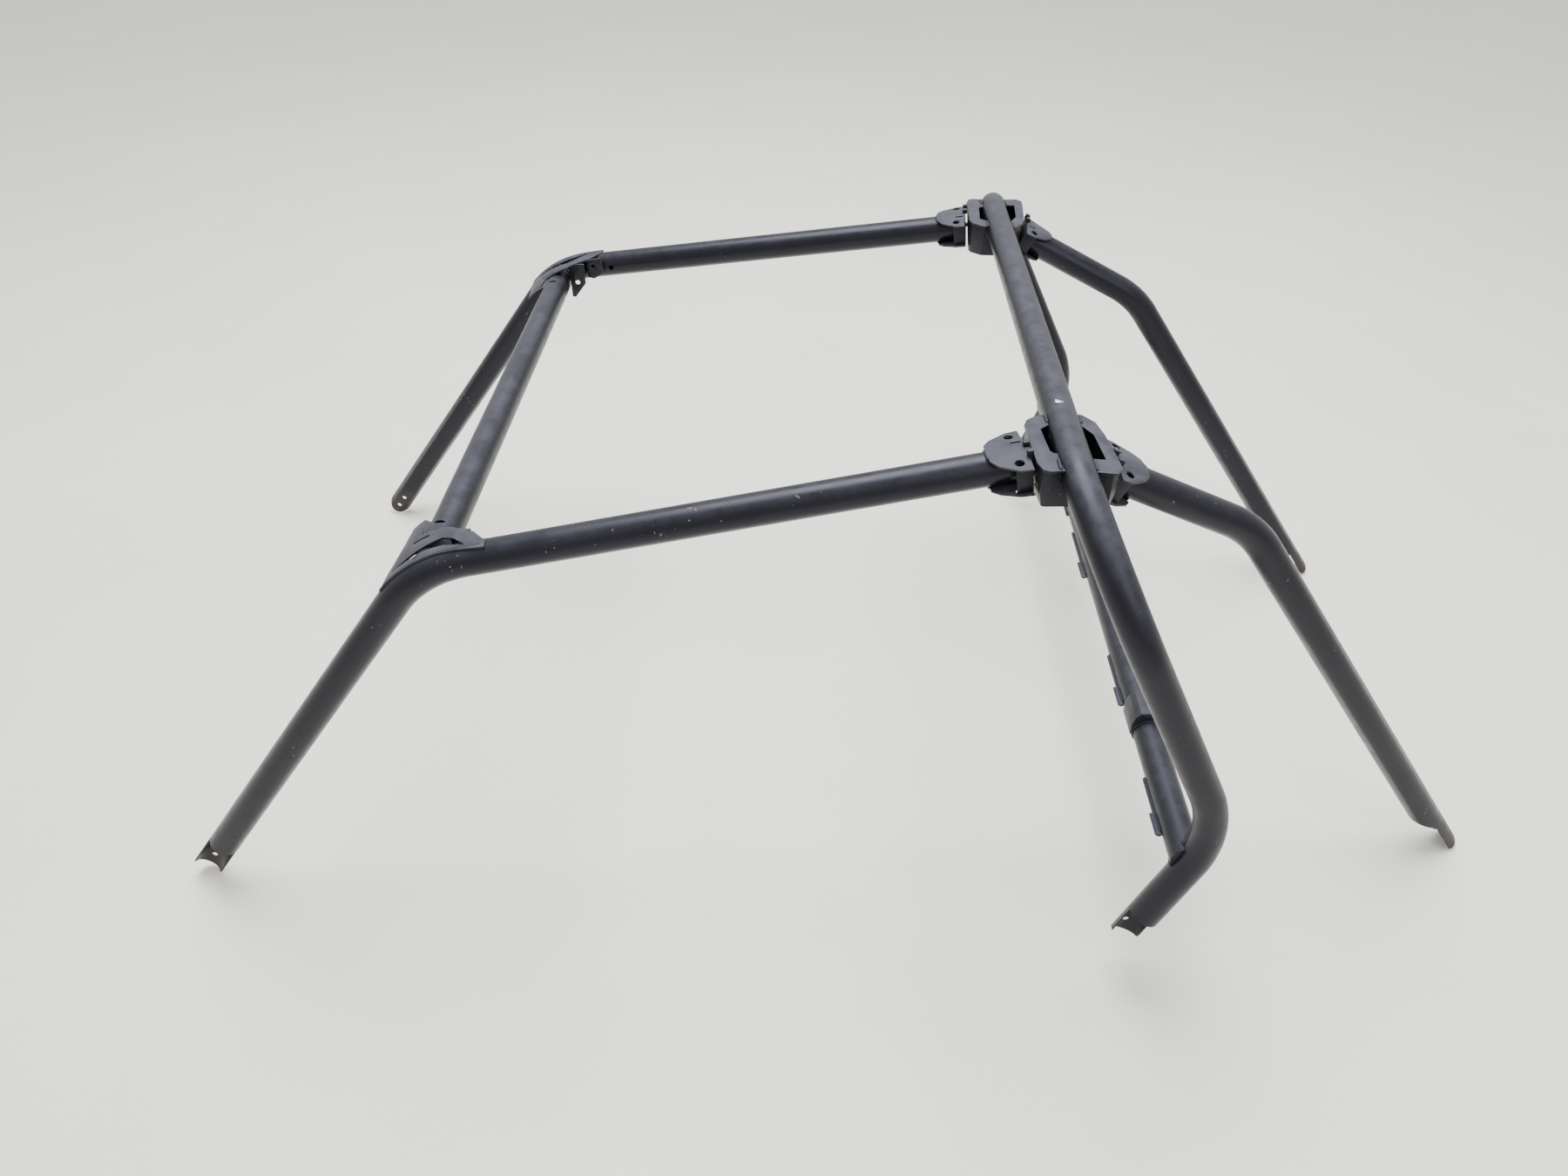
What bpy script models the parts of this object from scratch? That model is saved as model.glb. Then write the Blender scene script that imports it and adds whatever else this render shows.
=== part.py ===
"""Bolt-together tubular roll cage of a small off-road vehicle, standing on its feet.

Metres, +Z up.  The vehicle faces -X, so its left side is -Y.  Stations along X are measured from
the hoop's top tube, and HOOP_X puts the origin under the middle of the whole cage.
"""
import math

import bpy
import bmesh
from mathutils import Matrix, Vector

NAME = "roll_cage"
HOOP_X = 0.2556

# Tubes
TUBE_R = 0.02222
TUBE_WALL = 0.0025
TUBE_SIDES = 32
GAP = 0.0003

# Main hoop: top height, corner, lower bend, foot (x from the hoop's top, y outboard, z)
HOOP_CORNER = (0.0000, 0.6010, 0.7520)
HOOP_BEND = (0.2360, 0.6165, 0.3100)
HOOP_FOOT = (0.1506, 0.6223, 0.0681)
HOOP_TOP_BEND_R = 0.195
HOOP_LOW_BEND_R = 0.173

# Front rail: screen-pillar foot, front corner, joint end
RAIL_FOOT = (-1.2622, 0.5128, 0.0101)
RAIL_CORNER = (-0.8173, 0.4740, 0.6026)
RAIL_JOINT = (0.0000, 0.3895, 0.7411)
RAIL_BEND_R = 0.165

# Rear strut: joint end, bend, foot
STRUT_JOINT = (0.0000, 0.3955, 0.7441)
STRUT_BEND = (0.2679, 0.3645, 0.6189)
STRUT_FOOT = (0.7440, 0.3680, -0.0010)
STRUT_BEND_R = 0.160

# Cross tubes
FRONT_CROSS = (-0.8074, 0.5925)
HOOP_CROSS = (0.2038, 0.2499)
CROSS_REACH = 0.004

# Feet: the outboard half of the tube's end is cut away, and the inboard half is left as a tongue
# with a rounded tip and two bolt holes
RAIL_STEP = 0.085
HOOP_STEP = 0.063
STEP_DEPTH = 0.002
TIP_BACK = 0.018
FOOT_HOLE_R = 0.0045
FOOT_HOLES = (0.021, 0.047)
RAIL_HOLE = 0.113
TONGUE_LENGTH = 0.062
TONGUE_DEPTH = 0.002

# Hoop joints: wings over a box, centred on JOINT_Y
JOINT_Y = 0.3895
SHEET = 0.0030
WING_Z = 0.7586
BOX_LOW_Z = 0.7061
BOX_INSET = (0.0020, 0.0045)

# Rail-end plates, measured along and across the tube from the hoop's axis
BOX_END = 0.0490
END_NEAR = 0.0525
END_HEIGHT = TUBE_R + GAP + SHEET / 2
EAR_HOLE = (0.0670, 0.0310)
EAR_HOLE_R = 0.0040
SLOT_AT = (0.0620, -0.0130)
SLOT_SIZE = (0.0140, 0.0040)
WEB_HALF = 0.0390
WEB_RETURN = 0.0200
TUBE_END = END_NEAR + SHEET + GAP

# Joint fasteners
BOLT_R = 0.0040
BOLT_HEAD_R = 0.0065
BOLT_HEAD_H = 0.0050
BOLT_AT = (0.0285, -0.0080)
BOLT_END = 0.0660
NUT_H = 0.0065

# Front corner gusset, laid out along the bend's tangent and inboard from the rail's crest
GUSSET_LIFT = 0.0006
GUSSET_LEG = 0.0450
GUSSET_RAIL = 0.0750
GUSSET_OUTLINE = ((-0.060, -0.003), (-0.060, 0.012), (-0.046, 0.065), (-0.040, 0.105),
                  (-0.016, 0.105), (-0.006, 0.062), (0.040, 0.055), (0.080, 0.033), (0.099, 0.010),
                  (0.122, -0.003))
GUSSET_WINDOW = ((-0.044, 0.010), (-0.030, 0.010), (-0.010, 0.011), (0.020, 0.014), (0.046, 0.013),
                 (0.072, 0.005), (0.074, 0.007), (0.056, 0.024), (0.038, 0.032), (0.020, 0.028),
                 (-0.010, 0.020))
GUSSET_SLOT = (-0.002, 0.050, 0.030, 0.004)

# Roof tabs inside each front corner, x and z measured from the corner, and how far inboard
TAB_FRONT = (0.046, ((0.0340, 0.030), (0.0340, -0.034), (0.040, -0.036), (0.062, -0.008), (0.062, 0.030)),
             (0.0470, -0.006))
TAB_REAR = (0.036, ((0.066, 0.040), (0.066, 0.000), (0.078, -0.002), (0.097, 0.010), (0.092, 0.044)),
            (0.0770, 0.022))
TAB_HOLE_R = 0.0045

# Crossbar seat tabs (side, then first end, step and last end outboard) and belt guides
SEAT_TABS = (
    ("seat_tab_middle", 1, 0.145, 0.053, 0.008),
    ("seat_tab_1_left", -1, 0.200, 0.276, 0.317),
    ("seat_tab_1_right", 1, 0.200, 0.276, 0.317),
    ("seat_tab_2_left", -1, 0.467, 0.533, 0.573),
    ("seat_tab_2_right", 1, 0.467, 0.533, 0.573),
)
TAB_SHEET = 0.0040
TAB_ROOT = 0.0150
TAB_NIP = 0.0035
TAB_STEP = (0.0045, 0.0090)
TAB_TILT = math.radians(20)
GUIDE_Y = 0.339
GUIDE_WIDTH = 0.060
GUIDE_REACH = 0.062
GUIDE_DROP = 0.020
GUIDE_TILT = math.radians(-12)
GUIDE_HOLE = (0.046, 0.0055)

SIDES = (("left", -1), ("right", 1))


def clear_scene():
    for obj in list(bpy.data.objects):
        bpy.data.objects.remove(obj, do_unlink=True)
    for coll in list(bpy.data.collections):
        bpy.data.collections.remove(coll)


def new_collection(name):
    coll = bpy.data.collections.new(name)
    bpy.context.scene.collection.children.link(coll)
    return coll


def paint(obj, colour, roughness, metallic=0.1):
    mat = bpy.data.materials.new(obj.name)
    mat.use_nodes = True
    shader = mat.node_tree.nodes["Principled BSDF"]
    shader.inputs["Base Color"].default_value = (*colour, 1.0)
    shader.inputs["Roughness"].default_value = roughness
    shader.inputs["Metallic"].default_value = metallic
    obj.data.materials.clear()
    obj.data.materials.append(mat)


def at(point, side=1):
    """A station (x from the hoop, y outboard, z) as a world point on one side."""
    x, y, z = point
    return Vector((x + HOOP_X, y * side, z))


def frame(origin, along, across):
    """Axes at origin: X along, Y near across, Z square to both."""
    along = along.normalized()
    across = (across - across.dot(along) * along).normalized()
    up = along.cross(across)
    rot = Matrix((along, across, up)).transposed().to_4x4()
    return Matrix.Translation(origin) @ rot


def rounded_path(corners, radius, steps):
    """The corner points joined by straights, each inner corner turned into an arc."""
    points = [corners[0]]
    for before, corner, after, r in zip(corners, corners[1:], corners[2:], radius):
        into = (corner - before).normalized()
        out = (after - corner).normalized()
        half = into.angle(out) / 2
        start = corner - into * r * math.tan(half)
        centre = corner + (out - into).normalized() * r / math.cos(half)
        spin = into.cross(out).normalized()
        for i in range(steps + 1):
            turn = Matrix.Rotation(2 * half * i / steps, 3, spin)
            points.append(centre + turn @ (start - centre))
    points.append(corners[-1])
    return points


def to_mesh(obj, weld=1e-6):
    """The evaluated object as a plain mesh object; the original is removed."""
    deps = bpy.context.evaluated_depsgraph_get()
    mesh = bpy.data.meshes.new_from_object(obj.evaluated_get(deps))
    done = bpy.data.objects.new(obj.name, mesh)
    place = obj.matrix_world.copy()
    if place.determinant() < 0:
        mesh.transform(place)
        place = Matrix.Identity(4)
    done.matrix_world = place
    name = obj.name
    for coll in obj.users_collection:
        coll.objects.link(done)
    bpy.data.objects.remove(obj, do_unlink=True)
    done.name = name
    bm = bmesh.new()
    bm.from_mesh(mesh)
    bmesh.ops.remove_doubles(bm, verts=bm.verts, dist=weld)
    bmesh.ops.recalc_face_normals(bm, faces=bm.faces)
    bm.to_mesh(mesh)
    bm.free()
    return done


def round_sweep(name, points, radius, coll, caps, sides=TUBE_SIDES):
    curve = bpy.data.curves.new(name, "CURVE")
    curve.dimensions = "3D"
    curve.bevel_depth = radius
    curve.bevel_resolution = (sides - 4) // 2
    curve.use_fill_caps = caps
    spline = curve.splines.new("POLY")
    spline.points.add(len(points) - 1)
    for knot, point in zip(spline.points, points):
        knot.co = (*point, 1.0)
    obj = bpy.data.objects.new(name, curve)
    coll.objects.link(obj)
    bpy.context.view_layer.update()
    return to_mesh(obj)


def pipe(name, points, radius, coll):
    """An open-ended pipe: a swept skin thickened inwards."""
    obj = round_sweep(name, points, radius, coll, caps=False)
    wall = obj.modifiers.new("wall", "SOLIDIFY")
    wall.thickness = TUBE_WALL
    wall.offset = -1.0
    return obj


def flat_plate(name, outline, thickness, matrix, coll, holes=()):
    """A flat outline, with holes, thickened evenly about the matrix's XY plane."""
    curve = bpy.data.curves.new(name, "CURVE")
    curve.dimensions = "2D"
    curve.fill_mode = "BOTH"
    curve.extrude = thickness / 2
    for loop in (outline, *holes):
        spline = curve.splines.new("POLY")
        spline.points.add(len(loop) - 1)
        for knot, (x, y) in zip(spline.points, loop):
            knot.co = (x, y, 0.0, 1.0)
        spline.use_cyclic_u = True
    obj = bpy.data.objects.new(name, curve)
    obj.matrix_world = matrix
    coll.objects.link(obj)
    bpy.context.view_layer.update()
    return to_mesh(obj)


def block(name, low, high, matrix, coll):
    """A box between two corners, given in the matrix's own axes."""
    bpy.ops.mesh.primitive_cube_add(size=1.0)
    obj = bpy.context.object
    obj.name = name
    low = Vector(low)
    high = Vector(high)
    size = high - low
    obj.matrix_world = matrix @ Matrix.Translation((low + high) / 2) @ Matrix.Diagonal((*size, 1.0))
    move_to(obj, coll)
    return obj


def rod(name, radius, start, end, coll, sides=24):
    """A closed cylinder between two points."""
    start = Vector(start)
    end = Vector(end)
    bpy.ops.mesh.primitive_cylinder_add(vertices=sides, radius=radius, depth=(end - start).length)
    obj = bpy.context.object
    obj.name = name
    turn = (end - start).to_track_quat("Z", "Y").to_matrix().to_4x4()
    obj.matrix_world = Matrix.Translation((start + end) / 2) @ turn
    move_to(obj, coll)
    return obj


def move_to(obj, coll):
    for old in list(obj.users_collection):
        old.objects.unlink(obj)
    coll.objects.link(obj)


def combine(obj, other, operation):
    mod = obj.modifiers.new(other.name, "BOOLEAN")
    mod.operation = operation
    mod.solver = "EXACT"
    mod.object = other


def cut(obj, *cutters):
    for cutter in cutters:
        combine(obj, cutter, "DIFFERENCE")


def circle(x, y, radius, count=16):
    turns = [2 * math.pi * i / count for i in range(count)]
    return [(x + radius * math.cos(t), y + radius * math.sin(t)) for t in turns]


def slot(x, y, length, width, count=8):
    """A round-ended slot along X."""
    ends = []
    for sign in (1, -1):
        centre = x + sign * (length - width) / 2
        for i in range(count + 1):
            t = -math.pi / 2 + math.pi * i / count
            ends.append((centre + sign * width / 2 * math.cos(t), y + sign * width / 2 * math.sin(t)))
    return ends


def mirrored(outline, side):
    return [(x, y * side) for x, y in outline]


def hoop_points(steps=9):
    corners = [at(HOOP_FOOT, -1), at(HOOP_BEND, -1), at(HOOP_CORNER, -1)]
    corners += [at(HOOP_CORNER, 1), at(HOOP_BEND, 1), at(HOOP_FOOT, 1)]
    radii = (HOOP_LOW_BEND_R, HOOP_TOP_BEND_R, HOOP_TOP_BEND_R, HOOP_LOW_BEND_R)
    return rounded_path(corners, radii, steps)


def rail_corners(side):
    foot = at(RAIL_FOOT, side)
    corner = at(RAIL_CORNER, side)
    joint = at(RAIL_JOINT, side)
    end = joint + (corner - joint).normalized() * TUBE_END
    return foot, corner, end


def strut_corners(side):
    foot = at(STRUT_FOOT, side)
    bend = at(STRUT_BEND, side)
    joint = at(STRUT_JOINT, side)
    end = joint + (bend - joint).normalized() * TUBE_END
    return end, bend, foot


def foot_frame(end, before, outboard):
    """At a tube's foot: X up the tube, Y outboard."""
    return frame(end, before - end, Vector((0, outboard, 0)))


def tip_outline(steps=12):
    """Everything past a rounded tip, along the tube and across it."""
    wide = 1.5 * TUBE_R
    points = [(-wide, -wide), (TIP_BACK, -wide)]
    for i in range(steps + 1):
        turn = math.pi * (i / steps - 0.5)
        points.append((TIP_BACK * (1 - math.cos(turn)), 1.02 * TUBE_R * math.sin(turn)))
    return points + [(TIP_BACK, wide), (-wide, wide)]


def step_foot(obj, label, length, axes, side, tools):
    """Cuts the outboard part of a tube's end away, and rounds and drills the tongue that is left."""
    reach = 2 * TUBE_R
    low = min(-STEP_DEPTH * side, side * reach)
    high = max(-STEP_DEPTH * side, side * reach)
    step = block(label + "_step", (-reach, low, -reach), (length, high, reach), axes, tools)
    flat = axes @ Matrix.Rotation(math.radians(90), 4, "X")
    cut(obj, step, flat_plate(label + "_tip", tip_outline(), 2 * reach, flat, tools))
    for i, along in enumerate(FOOT_HOLES):
        start = axes @ Vector((along, 0, 0))
        end = axes @ Vector((along, -side * reach, 0))
        cut(obj, rod(f"{label}_hole_{i + 1}", FOOT_HOLE_R, start, end, tools))


def make_hoop(parts, tools):
    hoop = pipe("main_hoop", hoop_points(), TUBE_R, parts)
    for label, side in SIDES:
        foot = at(HOOP_FOOT, side)
        axes = foot_frame(foot, at(HOOP_BEND, side), 1)
        step_foot(hoop, "hoop_foot_" + label, HOOP_STEP, axes, side, tools)
    return round_sweep("hoop_clearance", hoop_points(), TUBE_R + GAP, tools, caps=True)


def make_rail(label, side, parts, tools):
    foot, corner, end = rail_corners(side)
    points = rounded_path([foot, corner, end], (RAIL_BEND_R,), 10)
    rail = pipe("front_rail_" + label, points, TUBE_R, parts)
    axes = foot_frame(foot, corner, 1)
    step_foot(rail, "rail_foot_" + label, RAIL_STEP, axes, side, tools)
    along = (end - corner).normalized()
    spot = corner + along * RAIL_HOLE
    inner = spot - Vector((0, side * 2 * TUBE_R, 0))
    cut(rail, rod("rail_hole_" + label, FOOT_HOLE_R, spot, inner, tools))
    clear = round_sweep("rail_clearance_" + label, points, TUBE_R + GAP, tools, caps=True)
    return rail, clear


def make_strut(label, side, parts, tools):
    end, bend, foot = strut_corners(side)
    points = rounded_path([end, bend, foot], (STRUT_BEND_R,), 8)
    strut = pipe("rear_strut_" + label, points, TUBE_R, parts)
    axes = frame(foot, bend - foot, Vector((0, 1, 0)))
    reach = 2 * TUBE_R
    # the front of the tube's end goes, at a slant, and its rear wall stays as a tongue
    outline = [(-0.02, -TONGUE_DEPTH), (TONGUE_LENGTH, -TONGUE_DEPTH), (TONGUE_LENGTH + 0.040, reach)]
    outline += [(-0.02, reach)]
    turn = Matrix.Rotation(math.radians(90), 4, "X")
    down = (axes.to_3x3() @ Vector((0, 0, 1))).x < 0
    flip = Matrix.Identity(4) if down else Matrix.Diagonal((1, -1, 1, 1))
    cutter = flat_plate("strut_foot_cut_" + label, outline, 2 * reach, axes @ turn @ flip, tools)
    cut(strut, cutter)


def make_cross_tubes(hoop_clear, rail_clears, parts, tools):
    x, z = FRONT_CROSS
    half = RAIL_CORNER[1] - CROSS_REACH
    ends = [at((x, half, z), -1), at((x, half, z), 1)]
    front = pipe("front_crossbar", ends, TUBE_R, parts)
    cut(front, *rail_clears)
    x, z = HOOP_CROSS
    half = HOOP_BEND[1] - CROSS_REACH
    ends = [at((x, half, z), -1), at((x, half, z), 1)]
    rear = pipe("hoop_crossbar", ends, TUBE_R, parts)
    cut(rear, hoop_clear)


def wing_outline(end):
    """A joint wing in plan; X away from the hoop, Y outboard.  end is front or rear."""
    if end == "front":
        outline = [(0.008, -0.066), (0.030, -0.066), (0.047, -0.052), (0.0515, -0.040)]
        outline += [(0.0480, 0.050), (0.0430, 0.064), (0.036, 0.068), (0.008, 0.066)]
        window = [(0.0325, -0.030), (0.0220, -0.040), (0.0150, -0.042)]
        window += [(0.0150, 0.027), (0.0240, 0.027), (0.0285, 0.0225)]
    else:
        outline = [(0.008, -0.070), (0.026, -0.068), (0.040, -0.050), (0.0460, -0.020)]
        outline += [(0.0515, 0.036), (0.0525, 0.060), (0.044, 0.070), (0.008, 0.066)]
        window = [(0.0150, -0.040), (0.0215, -0.039), (0.0320, -0.0195)]
        window += [(0.0365, 0.0390), (0.0150, 0.0370)]
    return outline, window


def inset(outline, along, across):
    """An outline moved in on every edge but the one by the hoop."""
    done = []
    for x, y in outline:
        sign = 1 if y > 0 else -1
        done.append((x - along if x > 0.01 else x, y - sign * across))
    return done


def beyond(label, side, end, start, tools):
    """A block that covers everything past a distance out along the rail or strut."""
    return block(label, (start, -0.1, -0.1), (start + 0.1, 0.1, 0.1), rail_frame(side, end), tools)


def make_joint(label, side, hoop_clear, parts, tools):
    """Front and rear wings and boxes that clamp the hoop's top tube."""
    for end, sign in (("front", -1), ("rear", 1)):
        outline, window = wing_outline(end)
        axes = Matrix.Diagonal((sign, side, 1, 1))
        name = f"{end}_{label}"
        place = Matrix.Translation((HOOP_X, JOINT_Y * side, WING_Z)) @ axes
        wing = flat_plate("joint_wing_" + name, outline, SHEET, place, parts)
        hole = flat_plate("wing_window_" + name, window, 4 * SHEET, place, tools)
        cut(wing, hole, hoop_clear)
        shell = inset(outline, *BOX_INSET)
        shell[0] = (0.0006, shell[0][1])
        shell[-1] = (0.0006, shell[-1][1])
        high = WING_Z - SHEET / 2 - GAP
        deep = high - BOX_LOW_Z
        place = Matrix.Translation((HOOP_X, JOINT_Y * side, (BOX_LOW_Z + high) / 2)) @ axes
        box = flat_plate("joint_box_" + name, shell, deep, place, parts)
        cut(box, beyond("box_end_" + name, side, end, BOX_END, tools))
        core = inset(shell, SHEET, SHEET)
        core[0] = (-0.01, core[0][1])
        core[-1] = (-0.01, core[-1][1])
        place = Matrix.Translation((0, 0, SHEET)) @ place
        hollow = flat_plate("box_hollow_" + name, core, deep, place, tools)
        cut(hollow, beyond("box_end_inside_" + name, side, end, BOX_END - SHEET, tools))
        cut(box, hollow, hoop_clear, bolt_hole("box_bolt_hole_" + name, side, end, tools))


def rail_frame(side, end):
    """Origin on the hoop's axis, X out along the rail or strut, Y outboard, Z up and square to both."""
    if end == "front":
        joint = at(RAIL_JOINT, side)
        corner = at(RAIL_CORNER, side)
    else:
        joint = at(STRUT_JOINT, side)
        corner = at(STRUT_BEND, side)
    axes = frame(joint, corner - joint, Vector((0, side, 0)))
    if axes.to_3x3().col[2].z < 0:
        axes = axes @ Matrix.Diagonal((1, 1, -1, 1))
    return axes


def bolt_rod(label, side, end, radius, first, last, coll, sides=24):
    """A rod on the joint bolt's axis, between two distances from the hoop."""
    axes = rail_frame(side, end)
    y, z = BOLT_AT
    start = axes @ Vector((first, y, z))
    finish = axes @ Vector((last, y, z))
    return rod(label, radius, start, finish, coll, sides)


def bolt_hole(label, side, end, tools):
    return bolt_rod(label, side, end, BOLT_R + GAP, 0.030, 0.080, tools)


def end_outline():
    half = [(END_NEAR, 0.047), (0.0690, 0.045), (0.0920, 0.031), (0.1010, 0.019)]
    return [(x, -y) for x, y in half] + [(x, y) for x, y in reversed(half)]


def make_rail_end(label, side, end, parts, tools):
    """Upper and lower ear plates and the end web welded on a rail's or strut's joint end."""
    axes = rail_frame(side, end)
    name = f"{end}_{label}"
    hole = circle(*EAR_HOLE, EAR_HOLE_R)
    inner = circle(EAR_HOLE[0], -EAR_HOLE[1], EAR_HOLE_R)
    notch = slot(*SLOT_AT, *SLOT_SIZE)
    up = Matrix.Translation((0, 0, END_HEIGHT))
    down = Matrix.Translation((0, 0, -END_HEIGHT))
    flat_plate("ear_upper_" + name, end_outline(), SHEET, axes @ up, parts, (hole, inner, notch))
    flat_plate("ear_lower_" + name, end_outline(), SHEET, axes @ down, parts, (hole, inner))
    height = 2 * (END_HEIGHT - SHEET / 2 - GAP)
    far = END_NEAR + WEB_RETURN
    wall = END_NEAR + SHEET
    web = [(END_NEAR, -WEB_HALF), (END_NEAR, WEB_HALF), (far, WEB_HALF), (far, WEB_HALF - SHEET)]
    web += [(wall, WEB_HALF - SHEET), (wall, -WEB_HALF + SHEET), (far, -WEB_HALF + SHEET)]
    web += [(far, -WEB_HALF)]
    plate = flat_plate("end_web_" + name, web, height, axes, parts)
    cut(plate, bolt_hole("web_bolt_hole_" + name, side, end, tools))


def make_joint_bolt(label, side, end, parts, tools):
    """The bolt that draws a rail end against its joint box, and its nut."""
    name = f"{end}_{label}"
    seat = BOX_END - SHEET - GAP
    head = seat - BOLT_HEAD_H
    bolt = bolt_rod("joint_bolt_" + name, side, end, BOLT_HEAD_R, head, seat, parts, sides=6)
    combine(bolt, bolt_rod("bolt_shank_" + name, side, end, BOLT_R, head + 0.001, BOLT_END, tools), "UNION")
    nut_face = END_NEAR + SHEET + GAP
    nut = bolt_rod("joint_nut_" + name, side, end, BOLT_HEAD_R, nut_face, nut_face + NUT_H, parts, sides=6)
    cut(nut, bolt_hole("nut_bore_" + name, side, end, tools))


def bend_strip(inner, outer, leg, rail, steps=10):
    """A strip in x and z outside the rail's bend, from the leg's straight to the rail's."""
    foot, corner, joint = (Vector((p[0], 0, p[2])) for p in (RAIL_FOOT, RAIL_CORNER, RAIL_JOINT))
    into = (corner - foot).normalized()
    out = (joint - corner).normalized()
    half = into.angle(out) / 2
    centre = corner + (out - into).normalized() * RAIL_BEND_R / math.cos(half)
    first = corner - into * RAIL_BEND_R * math.tan(half) - centre
    spin = into.cross(out).normalized()
    edges = []
    for offset in (inner, outer):
        scale = (RAIL_BEND_R + offset) / RAIL_BEND_R
        turns = [Matrix.Rotation(2 * half * i / steps, 3, spin) for i in range(steps + 1)]
        arc = [turn @ first * scale + centre for turn in turns]
        arc.insert(0, arc[0] - into * leg)
        arc.append(arc[-1] + out * rail)
        edges.append([(p.x, p.z) for p in arc])
    middle = Matrix.Rotation(half, 3, spin) @ first + centre
    tangent = Matrix.Rotation(half, 3, spin) @ into
    return edges[0] + edges[1][::-1], middle, tangent


def corner_frame(side, middle, tangent):
    """At the bend's middle: X along the bend, Y inboard."""
    origin = at((middle.x, RAIL_CORNER[1], middle.z), side)
    return frame(origin, tangent, Vector((0, -side, 0)))


def make_gusset(label, side, parts, tools):
    """A bent sheet that laps over the front crossbar's end and the rail's bend."""
    low = TUBE_R + GUSSET_LIFT
    outline, middle, tangent = bend_strip(low, low + SHEET, GUSSET_LEG, GUSSET_RAIL)
    upright = Matrix.Rotation(math.radians(90), 4, "X")
    place = Matrix.Translation((HOOP_X, RAIL_CORNER[1] * side, 0)) @ upright
    gusset = flat_plate("corner_gusset_" + label, outline, 0.24, place, parts)
    axes = corner_frame(side, middle, tangent)
    trim = flat_plate("gusset_trim_" + label, GUSSET_OUTLINE, 0.12, axes, tools)
    combine(gusset, trim, "INTERSECT")
    cut(gusset, flat_plate("gusset_window_" + label, GUSSET_WINDOW, 0.12, axes, tools))
    cut(gusset, flat_plate("gusset_slot_" + label, slot(*GUSSET_SLOT), 0.12, axes, tools))
    outline, middle, tangent = bend_strip(low - GAP, low + 0.04, GUSSET_LEG, GUSSET_RAIL + 0.02)
    return flat_plate("gusset_clearance_" + label, outline, 0.24, place, tools)


def make_roof_tabs(label, side, gusset_clear, rail_clear, parts, tools):
    for name, (inboard, outline, hole) in (("front", TAB_FRONT), ("rear", TAB_REAR)):
        origin = at((RAIL_CORNER[0], RAIL_CORNER[1] - inboard, RAIL_CORNER[2]), side)
        place = Matrix.Translation(origin) @ Matrix.Rotation(math.radians(90), 4, "X")
        rim = circle(*hole, TAB_HOLE_R)
        tab = flat_plate(f"roof_tab_{name}_{label}", outline, SHEET, place, parts, (rim,))
        cut(tab, gusset_clear, rail_clear)


def crossbar_frame(y, side, turn):
    """On the hoop crossbar's axis: X along the bar, outboard on its side, Y radial."""
    x, z = HOOP_CROSS
    radial = Vector((-math.cos(turn), 0, -math.sin(turn)))
    return frame(at((x, y, z), side), Vector((0, side, 0)), radial)


def make_seat_tabs(cross_clear, parts):
    """Stepped tabs along the hoop crossbar, low at the first end and high at the last."""
    low, high = (TUBE_R + step for step in TAB_STEP)
    for name, side, first, step, last in SEAT_TABS:
        middle = abs(step - first)
        length = abs(last - first)
        outline = [(0.0, TAB_ROOT), (0.0, low - TAB_NIP), (TAB_NIP, low), (middle, low), (middle, high)]
        outline += [(length - TAB_NIP, high), (length, high - TAB_NIP), (length, TAB_ROOT)]
        axes = crossbar_frame(first, side, TAB_TILT)
        if last < first:
            axes = axes @ Matrix.Diagonal((-1, 1, 1, 1))
        tab = flat_plate(name, outline, TAB_SHEET, axes, parts)
        cut(tab, cross_clear)


def make_belt_guide(label, side, cross_clear, parts, tools):
    """A saddle over the hoop crossbar with a flanged arm that reaches back."""
    axes = crossbar_frame(GUIDE_Y, side, math.pi + GUIDE_TILT)
    half = GUIDE_WIDTH / 2
    radius = TUBE_R + GAP + SHEET
    if axes.to_3x3().col[2].z < 0:
        axes = axes @ Matrix.Diagonal((1, 1, -1, 1))
    ends = [axes @ Vector((reach, 0, 0)) for reach in (-half, half)]
    saddle = rod("belt_guide_" + label, radius, *ends, parts, TUBE_SIDES)
    top = TUBE_R * 0.6
    arm = block("guide_arm_" + label, (-half, 0, top - GUIDE_DROP), (half, GUIDE_REACH, top), axes, tools)
    combine(saddle, arm, "UNION")
    inner = half - SHEET
    hollow = block("guide_hollow_" + label, (-inner, 0, top - 0.06), (inner, 0.2, top - SHEET), axes, tools)
    under = block("guide_under_" + label, (-0.1, -0.1, -0.1), (0.1, 0.0, -0.006), axes, tools)
    cut(saddle, hollow, under, cross_clear)
    y, r = GUIDE_HOLE
    cut(saddle, rod("guide_hole_" + label, r, axes @ Vector((0, y, 0)), axes @ Vector((0, y, 0.05)), tools))


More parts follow.
